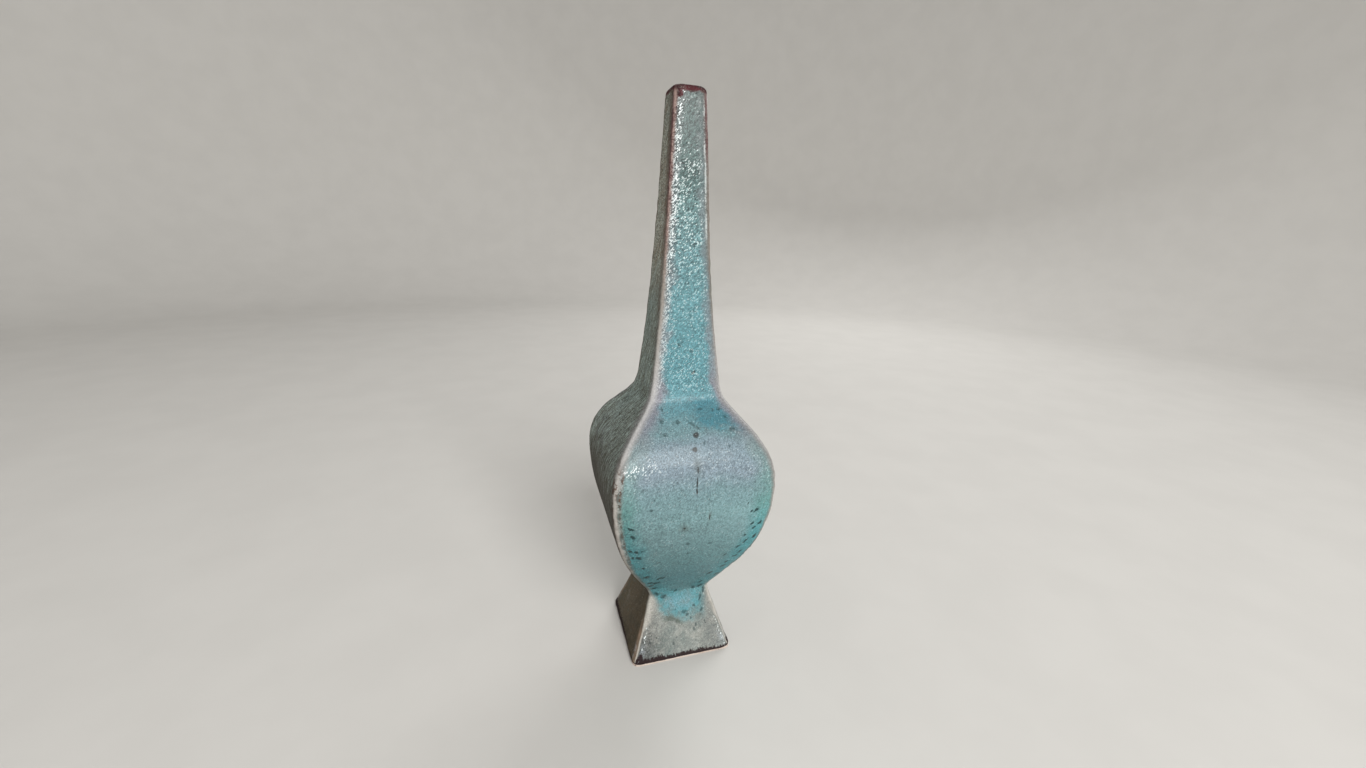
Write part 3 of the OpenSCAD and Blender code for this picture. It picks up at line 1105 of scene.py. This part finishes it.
    def _run(self) -> None:
        """Turquoise that ran down on to the foot from the waist, on every face but the left."""
        on, at, glaze = self.on, self.at, self.glaze
        line = self.waist + on.front * on.across.rise(6.0, -14.0) * 3.6 + on.mottle * 1.4
        under = on.z - line
        low = on.by_face(20.4, 21.0, 15.5, 60.0) - on.across.rise(-9.0, 4.0) * 3.4
        stray = on.patch * 5.0 + on.mottle * 5.0 + on.grain * 1.5
        reach = on.z - low + stray
        sides = (on.across + 13.2 - (self.waist - on.z) * 0.4 + stray * 0.8).rise(-2.2, 2.8)
        sides = sides * (on.across - 13.6 + stray * 0.9).rise(1.5, -4.0)
        thin = on.across.rise(-1.0, 9.0) * on.z.rise(*at.run_thins)
        run = reach.rise(-2.2, 2.6) * sides * under.rise(2.6, -1.4)
        self._lay(glaze.run, run * (0.86 - thin * 0.45 + on.mottle * 1.8))
        pale = on.z.band(*at.haze) * on.across.rise(-10.0, -5.0) * on.across.rise(10.0, 4.0)
        self._lay(glaze.haze, run * pale * (0.25 + on.grain * 2.0))
        rim = reach.band(-1.4, 0.4, 0.9) * sides * self.below * on.across.rise(3.0, -2.0)
        self._lay(glaze.olive, rim * (0.85 + on.mottle * 1.5))
        self._lay(glaze.ink, under.band(0.0, 0.4, 0.8) * on.edge.rise(2.0, 5.0) * 0.16)

    def _specks(self) -> None:
        """Dark specks: marks on the front face, scattered dashes low on the others, pepper on all."""
        on, at, glaze, graph = self.on, self.at, self.glaze, self.graph
        low = (on.z + on.patch * 8.0).band(self.waist - 8.0, self.waist + 52.0, 5.0)
        outer = (on.edge + on.patch * 6.0).rise(14.0, 6.0) + on.z.rise(self.waist + 14.0, self.waist + 4.0)
        chance, gap = graph.grains(graph.stretch(on.place, (0.8, 0.8, 1.2)), 4.6)
        dash = (gap + on.mottle * 0.3).rise(0.22, 0.1) * chance.rise(0.35, 0.55)
        self._lay(glaze.ink, dash * low * outer.least(1.0) * (1.0 - on.front) * 0.7)
        chance, gap = graph.grains(graph.stretch(on.place, (1.0, 1.0, 0.9)), 2.6)
        pepper = (gap + on.grain * 0.5).rise(0.2, 0.08) * chance.rise(0.6, 0.8)
        self._lay(glaze.ink, pepper * on.z.rise(*at.pepper) * 0.4)
        self._lay(glaze.olive, on.marks(glaze.stains, 0.8, 0.9) * 0.4)
        firm = 0.95 - on.z.rise(*at.dashes_soften) * 0.25
        self._lay(glaze.ink, on.marks(glaze.dashes, 0.9, 0.36) * firm)
        self._lay(glaze.ink, on.marks(glaze.faint, 1.0, 0.5) * 0.62)
        self._lay(glaze.umber, on.marks(glaze.spots, 0.6) * 0.9)

    def _crystals_and_glints(self, near: Value) -> Value:
        """Break the colour up into crystals, thickest on the neck and round the top of the belly, with white
        flecks that are partly painted glints.

        Args:
            near: Mask of the margins beside the corners.

        Returns:
            A mask of the brightest crystals and painted glints.
        """
        on, at, glaze = self.on, self.at, self.glaze
        chance, gap = self.graph.grains(on.slant, glaze.crystal_size)
        small, _ = self.graph.grains(on.slant, glaze.dust_size)
        neck = on.z.rise(self.crease - 1.0, self.crease + 7.0)
        belt = (on.z + on.patch * 12.0).band(self.crease - 33.0, self.crease - 18.0, 6.0)
        left_half = on.across.rise(3.0, -3.0)
        zone = (0.16 + neck * 0.84 + belt * 0.4) * (1.0 - near * neck * (1.0 - left_half) * 0.7)
        upper = on.z.rise(*at.upper_neck)
        foot = on.z.rise(*at.foot)
        tone = 1.0 + (chance - 0.5) * zone * (0.55 + upper * 0.7) + (small - 0.5) * (0.7 - foot * 0.3)
        tone = tone + on.grain * (0.8 - foot * 0.2) + on.mottle * 0.5
        self._lay(self._shaded(tone, foot).most(0.12), 1.0, "MULTIPLY")
        # Painted highlight: more and brighter white flecks along the neck's left margin and in a band high on
        # the belly's left.
        painted_glint_margin = left_half * neck * (on.edge + on.mottle * 2.4).rise(5.6, 2.6)
        painted_glint_band = (on.z + on.patch * 5.0).band(*at.painted_glint_band) * on.across.rise(-14.0, -25.0)
        dull = on.z.rise(*at.dull_top) * 0.3
        shine = zone * (0.3 + on.patch * 0.9 + painted_glint_margin * 0.7 + painted_glint_band - dull - belt * 0.1)
        shine = shine * on.by_face(1.0, 0.85, 0.85, 0.2)
        fleck_and_glint = (chance - 0.95 + shine * 0.6).rise(0.0, 0.1) * gap.rise(0.75, 0.35)
        bright = 0.2 + zone * (0.08 + upper * 0.26) + painted_glint_margin * 0.2 + painted_glint_band * 0.5
        self._lay(glaze.crystal_and_glint, fleck_and_glint * bright)
        return fleck_and_glint

    def _shaded(self, tone: Value, foot: Value) -> Value:
        """Paint light and shade into the brightness of the faces.

        Args:
            tone: Brightness of the crystals.
            foot: Mask of the foot.

        Returns:
            Brightness of the whole surface.
        """
        on, at = self.on, self.at
        # Painted light and shade: the left face's shoulder lighter towards the back; the lower belly's front
        # lighter to the right, darker to the left.
        tone = tone * (1.0 - on.left * on.z.rise(*at.left_shoulder) * on.across * 0.007)
        tone = tone + on.front * on.z.rise(*at.lower_belly) * on.across * 0.0065
        # The foot darker low on its left and towards the sides of its front.
        tone = tone - foot * on.z.rise(*at.lower_foot) * on.across.rise(2.0, -22.0) * 0.2
        tone = tone - foot * on.front * abs(on.across + 2.0).rise(6.0, 18.0) * 0.26
        # Painted shade: the left face darker low on the belly; the rest of it, up the neck and on the foot,
        # made lighter.
        shade = on.painted_shade_low_left * 0.76 - 0.24 - on.z.band(*at.left_neck) * 0.22
        shade = shade - on.z.rise(*at.left_upper_neck) * 0.1
        shade = shade - foot * (0.46 + on.away * 0.3)
        return tone * (1.0 - on.left * shade) * self.glaze.tone

    def _ridges(self) -> Value:
        """Lay the pale corners, widest round the shoulder and where the glaze crawled.

        Returns:
            A mask of the corners.
        """
        on, at = self.on, self.at
        corner = 2.1 + on.z.band(*at.shoulder_ridge) * 0.9
        corner = corner + on.z.rise(self.crease + 40.0, self.top - 44.0) * 0.4
        corner = corner + on.z.band(*at.crawled_ridge) * on.front_left * 0.8
        thin = on.z.rise(*at.foot_ridge) * (1.0 - on.front) + on.z.rise(*at.front_foot_ridge) * on.front
        wedge = on.z.band(*at.waist_ridge) * 1.8 - on.z.rise(*at.neck_ridge) * 0.7
        corner = corner - thin * 1.4 + wedge * on.front * on.front_left
        corner = corner + on.z.band(*at.left_shoulder_ridge) * on.left * on.front_left * 2.4
        ridge = ((on.edge + on.mottle * 2.2 + on.grain * 0.8) / corner).rise(1.5, 0.15)
        self._lay(self._ridge_tint(), ridge * 0.95)
        return ridge

    def _ridge_tint(self) -> Value:
        """Mix the corners' colour by height, with brown pits, painted shade on the side away from the front
        and painted highlight along the crests.

        Returns:
            The colour.
        """
        on, at, glaze, graph = self.on, self.at, self.glaze, self.graph
        tint = on.by_height(glaze.ridge_stops, on.z + on.broad * 20.0 + on.patch * 12.0, self.top)
        pitted = on.z.band(*at.pits) + on.z.band(*at.foot_pits) * (1.0 - on.front_left)
        pits = (on.mottle * 1.2 + on.grain * 0.8).rise(-0.06, 0.06) * pitted
        pits = pits * (0.25 + on.edge.rise(0.6, 2.0) * 0.75 + on.z.band(*at.dense_pits) * 0.8).least(1.0)
        tint = graph.mix(tint, glaze.pit_and_shadow_brown, pits * (0.45 + on.front_left * 0.5))
        # Rose where the neck's corners turn to the front: partly painted highlight.
        facing = on.front + on.back
        seen = on.edge * (facing * 2.0 - 1.0)
        pale = seen.rise(-0.9, 0.3) * on.z.rise(*at.rose_ridge) * (0.35 + on.front_left * 0.65)
        tint = graph.mix(tint, glaze.rose, pale * (0.6 + on.mottle * 2.4 + on.grain * 2.6))
        worn = (1.0 - on.front_left) * on.z.band(*at.worn_ridge)
        tint = graph.mix(tint, glaze.drab, worn * 0.7)
        # Painted shade: darker on the side of the corners away from the front, and on all corners but the
        # front-left.
        far_shade = (1.0 - facing) * on.edge.rise(0.8, 2.6) * (0.3 + on.z.rise(*at.far_neck_ridge) * 0.3)
        far_shade = far_shade + (1.0 - on.front_left) * on.z.band(*at.far_ridge) * 0.32
        far_shade = far_shade + (1.0 - facing) * on.edge.rise(0.4, 5.0) * on.z.band(*at.far_shoulder_ridge) * 0.15
        # Painted highlight along the crest of each corner.
        crest_highlight = on.edge.rise(1.8, 0.0) * (0.16 + on.z.band(*at.crest_highlight) * 0.16) - 0.06
        return graph.mix(tint, (1.0 + on.grain * 1.1 - far_shade + crest_highlight) * glaze.tone, 1.0, "MULTIPLY")

    def _seams_shadow_and_glint(self) -> None:
        """Brown seams where the glaze crawled, a brown painted shadow on the left face beside the corners,
        tan beside the foot's corner, and a painted glint along the neck.
        """
        on, at, glaze = self.on, self.at, self.glaze
        brown = glaze.deepen(glaze.pit_and_shadow_brown)
        crawled = on.z.band(*at.crawled_seam) * on.front_left
        line = (on.edge + on.mottle * 2.4 + on.grain * 1.6).band(2.4, 3.5, 0.5) * crawled
        broken = (on.mottle * 1.4 + on.grain + on.patch * 0.6).rise(-0.2, 0.12)
        self._lay(brown, line * broken * (0.75 + on.z.rise(*at.dense_seam) * 0.25))
        # Painted shadow: brown on the left face beside its corners, up the neck.
        shadow = on.left * (on.edge + on.mottle * 1.6).band(1.6, 4.4, 1.0)
        shadow = shadow * on.z.rise(self.crease + 4.0, self.crease + 26.0)
        self._lay(brown, shadow * (0.35 + on.z.rise(*at.deep_shadow) * 0.2 + on.mottle * 1.2))
        tan = on.left * (on.edge + on.mottle * 1.6).band(0.7, 3.4, 0.8) * on.z.rise(*at.tan_seam)
        self._lay(glaze.deepen(glaze.fawn), tan * (0.6 + on.mottle * 1.6))
        # Painted highlight: a glint line beside the neck's right corner.
        shine = on.front * (on.across + on.edge).rise(4.0, 8.0) * on.z.band(*at.neck_glint)
        shine = shine * (on.edge + on.mottle).band(1.9, 2.6, 0.5)
        shine = shine * (on.patch * 2.0 + on.grain).rise(-0.2, 0.1)
        self._lay(glaze.crystal_and_glint, shine * 0.5)

    def _lip(self) -> Value:
        """Lay the red-brown of the lip, where the glaze runs thin, and the rose of its worn corner.

        Returns:
            A mask of the red-brown.
        """
        on, glaze, graph = self.on, self.glaze, self.graph
        rose = glaze.deepen(glaze.rose)
        low = self.top - 3.0 + on.across.rise(-2.0, 6.0) * 0.5
        band = (on.z - low + on.mottle * 3.0 + on.grain * 1.4).rise(-0.6, 0.5)
        band = band.most(on.marks(glaze.drops, 0.7))
        dark = on.mottle + on.grain * 0.5 + on.z.rise(self.top - 3.0, self.top - 0.6) * 0.1
        tint = graph.mix(glaze.deepen(glaze.oxblood), glaze.deepen(glaze.burnt), dark.rise(-0.1, 0.18))
        tint = graph.mix(tint, rose, (on.grain + on.mottle * 0.4).rise(0.02, 0.2) * 0.4)
        self._lay(tint, band * 0.96)
        worn = on.edge.rise(1.5, 0.4) * on.front_left
        worn = worn * (on.z + on.mottle * 3.0).band(self.top - 9.0, self.top - 2.4, 1.2)
        self._lay(rose, worn * 0.7)
        return band

    def _bare_line(self) -> tuple[Value, Value]:
        """Lay the dark, ragged lower edge, and glassy drips and painted glints in the foot's corners.

        Returns:
            A mask of the drips, and one of the dark edge.
        """
        on, at, glaze, graph = self.on, self.at, self.glaze, self.graph
        drip = (on.edge + on.mottle * 4.0).band(1.8, 4.4, 1.4) * on.z.band(*at.drips)
        drip = drip * (on.mottle + on.grain * 0.8).rise(-0.12, 0.1)
        self._lay(glaze.lilac, drip * 0.3)
        spikes = graph.cloud(graph.stretch(on.place, (1.0, 1.0, 0.3)), 0.8, 2.0)
        height = 2.8 - on.across * 0.04 + on.broad * 3.0 + on.patch * 2.0 + spikes * 4.0 + on.mottle * 1.6
        height = height + on.edge.band(1.4, 3.4, 0.8) * on.front_left * on.front * 2.4
        dark = (on.z - height).rise(0.45, -0.45)
        self._lay(glaze.deepen(glaze.burnt), dark * 0.97)
        # Painted highlight: white glints on the front of the foot beside its corners.
        chance, gap = graph.grains(graph.stretch(on.place, (1.0, 1.0, 0.6)), 0.7)
        glint = (on.edge + on.mottle * 2.0).band(1.7, 2.9, 0.5) * on.z.band(*at.foot_glint)
        glint = glint * on.front * chance.rise(0.4, 0.5) * gap.rise(0.6, 0.3)
        self._lay(glaze.crystal_and_glint, glint * 0.8)
        return drip * (1.0 - dark), dark


@dataclass(frozen=True)
class BareClay:
    """Unglazed pale stoneware, gritty, warmer in soft patches."""

    slot: Slot
    body: Colour
    toast: Colour
    grit: Colour

    def material(self) -> bpy.types.Material:
        """Build the material.

        Returns:
            The finished material.
        """
        graph = Graph(self.slot.value)
        place = graph.millimetres()
        cloud = graph.cloud(place, 9.0)
        fine = graph.cloud(place, 0.6, 2.0, 0.7)
        chance, gap = graph.grains(place, 1.6)
        colour = graph.mix(self.body, self.toast, (cloud + fine * 0.4).rise(-0.12, 0.22))
        speck = chance.rise(0.86, 0.93) * gap.rise(0.4, 0.2)
        colour = graph.mix(colour, self.grit, speck * 0.7)
        sockets = {"Base Color": colour, "Roughness": 0.86 + fine * 0.2, "IOR": 1.45}
        return graph.finish(sockets, fine + cloud * 0.5 - speck * 0.3, 0.2)


@dataclass(frozen=True)
class LiningGlaze:
    """Thin grey-green glaze inside the vessel."""

    pale: Colour = srgb(132, 146, 140)
    deep: Colour = srgb(84, 108, 106)

    def material(self) -> bpy.types.Material:
        """Build the material.

        Returns:
            The finished material.
        """
        graph = Graph(Slot.LINING_GLAZE.value)
        place = graph.millimetres()
        cloud = graph.cloud(place, 8.0)
        fine = graph.cloud(place, 1.0)
        colour = graph.mix(self.pale, self.deep, (cloud + fine * 0.6).rise(-0.15, 0.2))
        sockets = {"Base Color": colour, "Roughness": 0.34 + fine * 0.3, "IOR": 1.5}
        return graph.finish(sockets, cloud + fine * 0.4, 0.2)


@dataclass
class Vase:
    """The whole vessel: the modelled glaze coat over the CAD clay."""

    levels: Levels = field(default_factory=Levels)

    def build(self) -> None:
        """Model the coat and give every piece its finish."""
        coat = GlazeCoat(self.levels, SleeveProfile(self.levels), reliefs=self._reliefs()).build()
        coat.data.materials.append(TurquoiseGlaze().material(self.levels))
        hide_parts("outer_glaze")
        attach(coat, BODY)
        LOG.info("glaze coat: %d faces", len(coat.data.polygons))
        clays = (
            BareClay(Slot.STONEWARE, srgb(192, 180, 170), srgb(174, 156, 144), srgb(104, 86, 76)),
            BareClay(Slot.SEAM_CLAY, srgb(196, 185, 176), srgb(178, 160, 148), srgb(108, 90, 80)),
        )
        materials = {clay.slot: clay.material() for clay in clays}
        materials[Slot.LINING_GLAZE] = LiningGlaze().material()
        for name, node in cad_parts.items():
            slot = self._slot_of(name)
            if slot in materials:
                node.data.materials.clear()
                node.data.materials.append(materials[slot])
                LOG.info("%s: %s", name, slot.value)

    @staticmethod
    def _slot_of(name: str) -> Slot:
        """Tell a CAD node's slot.

        Args:
            name: Name of the node.

        Returns:
            The slot.
        """
        if name == "outer_glaze":
            return Slot.TURQUOISE_GLAZE
        if name == "lining_glaze":
            return Slot.LINING_GLAZE
        return Slot.SEAM_CLAY if "_coil_" in name else Slot.STONEWARE

    def _reliefs(self) -> list[Relief]:
        """List the unevenness of the hand-built faces, corners, waist, lip and lower edge.

        Returns:
            The reliefs, in the order in which they are pressed.
        """
        waist, top = self.levels.waist / MM, self.levels.top / MM

        def open_faces(p: np.ndarray) -> np.ndarray:
            """All but the lower edge and the lip."""
            return ease(p[:, 2], 3, 12) * ease(p[:, 2], top - 4, top - 20)

        def ridges(p: np.ndarray) -> np.ndarray:
            """The crests of the corners."""
            return ease(edge_gap(p), 2.4, 0.3) * ease(p[:, 2], 3, 10) * ease(p[:, 2], top - 5, top - 40)

        def corners(p: np.ndarray) -> np.ndarray:
            """The corners and what lies beside them."""
            return ease(edge_gap(p), 6, 2) * ease(p[:, 2], 2, 6) * ease(p[:, 2], top - 2, top - 8)

        def pitted(p: np.ndarray) -> np.ndarray:
            """The corners of the belly, where the glaze crawled."""
            return ease(edge_gap(p), 3.4, 1.4) * ease(p[:, 2], 40, 60) * ease(p[:, 2], 118, 104)

        def filled(p: np.ndarray) -> np.ndarray:
            """The left of the waist on the front, filled by a thick run."""
            near = ease(np.abs(p[:, 2] - waist - 1.5), 5.0, 0.0)
            return near * ease(p[:, 0], 5, -9) * ease(-p[:, 1] - np.abs(p[:, 0]), -1.0, 0.5)

        def run(p: np.ndarray) -> np.ndarray:
            """The run on the front of the foot."""
            sides = ease(p[:, 0], -12, -9) * ease(p[:, 0], 14.5, 11)
            return sides * ease(p[:, 2], 16, 19) * ease(p[:, 2], waist + 1, waist - 2) * (p[:, 1] < 0)

        def lower_edge(p: np.ndarray) -> np.ndarray:
            """The rolled edge above the bare clay."""
            return ease(p[:, 2], 5.0, 1.5)

        def lip(p: np.ndarray) -> np.ndarray:
            """The lip's outer half."""
            return ease(p[:, 2], top - 6, top - 2)

        return [
            Relief("slab_swell", 0.7, 45.0, 0.6, open_faces),
            Relief("ridge_bead", 0.3, 0.0, 0.0, ridges),
            Relief("corner_lumps", 0.5, 5.0, 0.5, corners),
            Relief("crawled_glaze", 0.6, 2.2, 0.45, pitted),
            Relief("waist_fill", 0.9, 0.0, 0.0, filled),
            Relief("run_swell", 0.4, 6.0, 0.3, run),
            Relief("edge_roll", 0.2, 0.0, 0.0, lower_edge),
            Relief("edge_wave", 0.4, 5.0, 0.4, lower_edge),
            Relief("lip_wave", 0.5, 5.0, 0.55, lip),
            Relief("peel", 0.1, 2.2, 0.5, lambda p: ease(p[:, 2], 1.5, 4)),
        ]


@dataclass(frozen=True)
class Lamp:
    """A square soft light, placed by its direction from the middle of the vase.

    Attributes:
        name: Name of the light.
        azimuth: Degrees from the front towards the right.
        elevation: Degrees above the horizon.
        distance: Metres from the vase's middle.
        size: Side of the light in metres.
        power: Watts.
        tint: Colour of the light.
    """

    name: str
    azimuth: float
    elevation: float
    distance: float
    size: float
    power: float
    tint: tuple[float, float, float]

    def hang(self, target: Vector) -> None:
        """Add the light, out of the camera's sight.

        Args:
            target: Where it shines.
        """
        turn, lift = math.radians(self.azimuth), math.radians(self.elevation)
        way = Vector((math.sin(turn) * math.cos(lift), -math.cos(turn) * math.cos(lift), math.sin(lift)))
        bpy.ops.object.light_add(type="AREA", location=target + way * self.distance)
        lamp = bpy.context.object
        lamp.name = self.name
        lamp.rotation_euler = (-way).to_track_quat("-Z", "Y").to_euler()
        lamp.data.size = self.size
        lamp.data.energy = self.power
        lamp.data.color = self.tint
        lamp.visible_camera = False


@dataclass(frozen=True)
class Studio:
    """Pale round floor that sweeps up into a wall, under soft light, mostly from the front; in metres."""

    floor_reach: float = 1.3
    sweep: float = 0.45
    wall: float = 1.1
    rim_points: int = 96
    bend_steps: int = 9
    smooth_angle: float = math.radians(40)
    cloud_size: float = 60.0
    floor_roughness: float = 0.8
    pale: Colour = srgb(204, 202, 198)
    shade: Colour = srgb(201, 199, 195)
    target: tuple[float, float, float] = (0.0, 0.0, 0.13)
    sky: float = 0.32
    lamps: Sequence[Lamp] = (
        Lamp("key", 8.0, 30.0, 1.6, 0.8, 27.5, DAYLIGHT),
        Lamp("rear", 140.0, 34.0, 1.5, 0.8, 8.5, DAYLIGHT),
        Lamp("shade", -80.0, 20.0, 1.0, 0.7, 0.35, (1.0, 0.95, 0.88)),
    )

    def build(self) -> None:
        """Make the floor, the lights and the sky."""
        self._floor()
        for lamp in self.lamps:
            lamp.hang(Vector(self.target))
        world = bpy.data.worlds.new("studio")
        world.use_nodes = True
        background = world.node_tree.nodes["Background"]
        background.inputs["Color"].default_value = (*DAYLIGHT, 1.0)
        background.inputs["Strength"].default_value = self.sky
        bpy.context.scene.world = world
        bpy.context.scene.view_settings.view_transform = "Standard"

    def _floor(self) -> None:
        """Round floor whose rim sweeps up into a wall."""
        bpy.ops.object.select_all(action="DESELECT")
        bpy.ops.mesh.primitive_circle_add(vertices=self.rim_points, radius=self.floor_reach, fill_type="NGON")
        floor = bpy.context.object
        floor.name = "studio_floor"
        bpy.ops.object.mode_set(mode="EDIT")
        bpy.ops.mesh.select_mode(type="EDGE")
        bpy.ops.mesh.select_all(action="SELECT")
        bpy.ops.mesh.region_to_loop()
        path = [(self.floor_reach, 0.0)]
        for step in range(self.bend_steps):
            turn = math.pi / 2 * (step + 1) / self.bend_steps
            path.append((self.floor_reach + self.sweep * math.sin(turn), self.sweep * (1 - math.cos(turn))))
        path.append((self.floor_reach + self.sweep, self.sweep + self.wall))
        extrude_rings(path)
        bpy.ops.object.mode_set(mode="OBJECT")
        bpy.ops.object.shade_smooth_by_angle(angle=self.smooth_angle)
        graph = Graph("studio_floor")
        cloud = graph.cloud(graph.millimetres(), self.cloud_size)
        colour = graph.mix(self.pale, self.shade, cloud.rise(-0.2, 0.2))
        floor.data.materials.append(graph.finish({"Base Color": colour, "Roughness": self.floor_roughness}))


@dataclass(frozen=True)
class PhotoCamera:
    """Camera at the photograph's place: left of the front face, near the height of the neck.

    Lengths are shares of the vase's height, angles are in degrees, and nearest is in metres.
    """

    turn: float = 18.01
    distance: float = 0.907
    height: float = 0.782
    aside: float = 0.0112
    pitch: float = 16.14
    roll: float = 2.03
    focal_pixels: float = 520.0
    picture_width: float = 1366.0
    sensor: float = 36.0
    nearest: float = 0.01

    def build(self, levels: Levels) -> None:
        """Place the camera and make it the scene's own.

        Args:
            levels: Heights of the vase.
        """
        turn, pitch, roll = (math.radians(a) for a in (self.turn, self.pitch, self.roll))
        ahead = Vector((math.sin(turn), math.cos(turn), 0))
        right = Vector((math.cos(turn), -math.sin(turn), 0))
        upright = Vector((0, 0, 1))
        look = ahead * math.cos(pitch) - upright * math.sin(pitch)
        rise = upright * math.cos(pitch) + ahead * math.sin(pitch)
        axis_x = right * math.cos(roll) + rise * math.sin(roll)
        axis_y = rise * math.cos(roll) - right * math.sin(roll)
        spot = (right * self.aside - ahead * self.distance + upright * self.height) * levels.top
        bpy.ops.object.camera_add()
        camera = bpy.context.object
        camera.name = "photo_camera"
        columns = Matrix((axis_x, axis_y, -look)).transposed().to_4x4()
        camera.matrix_world = Matrix.Translation(spot) @ columns
        camera.data.sensor_width = self.sensor
        camera.data.lens = self.focal_pixels / self.picture_width * self.sensor
        camera.data.clip_start = self.nearest
        bpy.context.scene.camera = camera


def main() -> None:
    """Build the vase, the studio and the camera."""
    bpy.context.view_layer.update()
    vase = Vase()
    vase.build()
    Studio().build()
    PhotoCamera().build(vase.levels)


if __name__ == "__main__":
    logging.basicConfig(level=logging.INFO)
    main()
